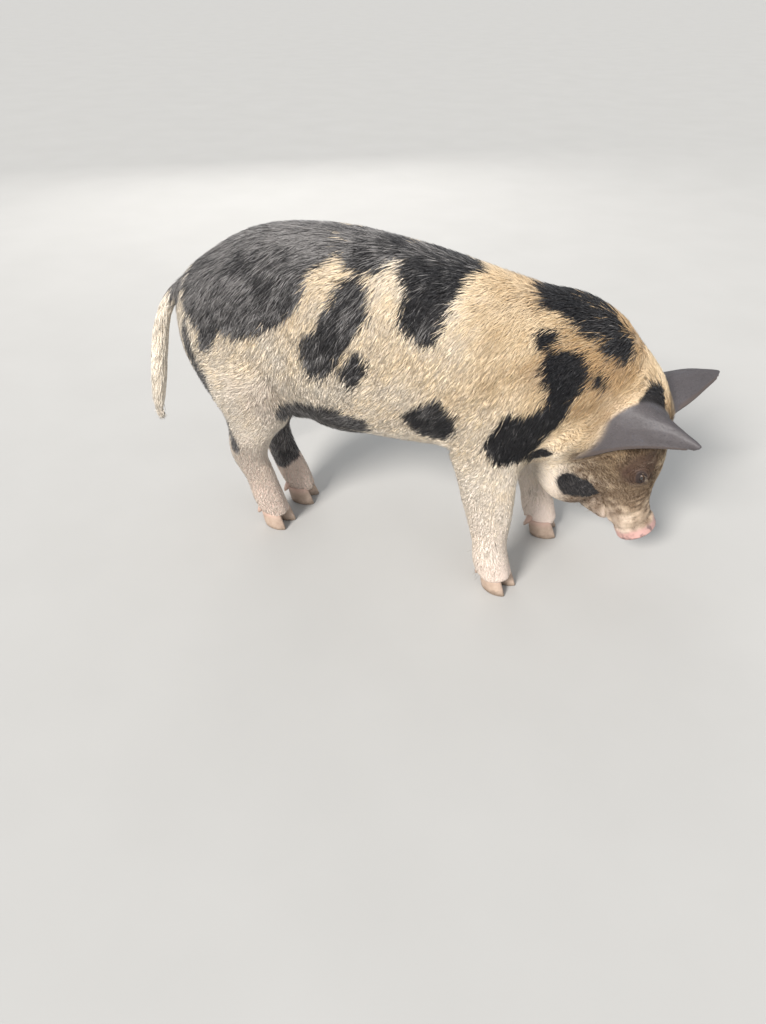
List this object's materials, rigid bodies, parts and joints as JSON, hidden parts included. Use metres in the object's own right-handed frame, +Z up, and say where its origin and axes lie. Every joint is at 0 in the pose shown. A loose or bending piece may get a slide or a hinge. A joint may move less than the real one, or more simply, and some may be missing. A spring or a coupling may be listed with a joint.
{
  "type": "life-size kunekune pig model",
  "caption": "Life-size still model of a kunekune pig, ginger and cream with black patches, standing on its four feet with its head lowered to feed.",
  "frame": {"origin": "middle of the animal's bounding box, on the floor that it stands on", "axes": "+X the way the pig faces, +Y its left side, +Z up"},
  "size_m": [1.1026, 0.3516, 0.6336],
  "materials": {
    "coat": "bristly ginger and cream hair with black patches, lying back and down",
    "face_coat": "short tan hair, banded with dark, over wrinkled skin",
    "ear_skin": "dark grey-brown skin with sparse short hair and a slight sheen",
    "snout_skin": "bare pink skin, slightly damp",
    "tail_hair": "long cream hair, black at the root",
    "hoof": "pink-tan horn, worn dull",
    "eye": "dark brown, wet gloss"
  },
  "bodies": {
    "root": {"trunk": "coat", "neck": "coat", "tail": "tail_hair", "upper_foreleg_right": "coat", "lower_foreleg_right": "coat", "claw_inner_foreleg_right": "hoof", "dewclaw_inner_foreleg_right": "hoof", "claw_outer_foreleg_right": "hoof", "dewclaw_outer_foreleg_right": "hoof", "upper_foreleg_left": "coat", "lower_foreleg_left": "coat", "claw_inner_foreleg_left": "hoof", "dewclaw_inner_foreleg_left": "hoof", "claw_outer_foreleg_left": "hoof", "dewclaw_outer_foreleg_left": "hoof", "thigh_right": "coat", "lower_hindleg_right": "coat", "claw_inner_hindleg_right": "hoof", "dewclaw_inner_hindleg_right": "hoof", "claw_outer_hindleg_right": "hoof", "dewclaw_outer_hindleg_right": "hoof", "thigh_left": "coat", "lower_hindleg_left": "coat", "claw_inner_hindleg_left": "hoof", "dewclaw_inner_hindleg_left": "hoof", "claw_outer_hindleg_left": "hoof", "dewclaw_outer_hindleg_left": "hoof", "head": "face_coat", "jaw": "face_coat", "eye_right": "eye", "eye_left": "eye", "snout": "snout_skin", "ear_right": "ear_skin", "ear_left": "ear_skin"}
  },
  "joints": []
}
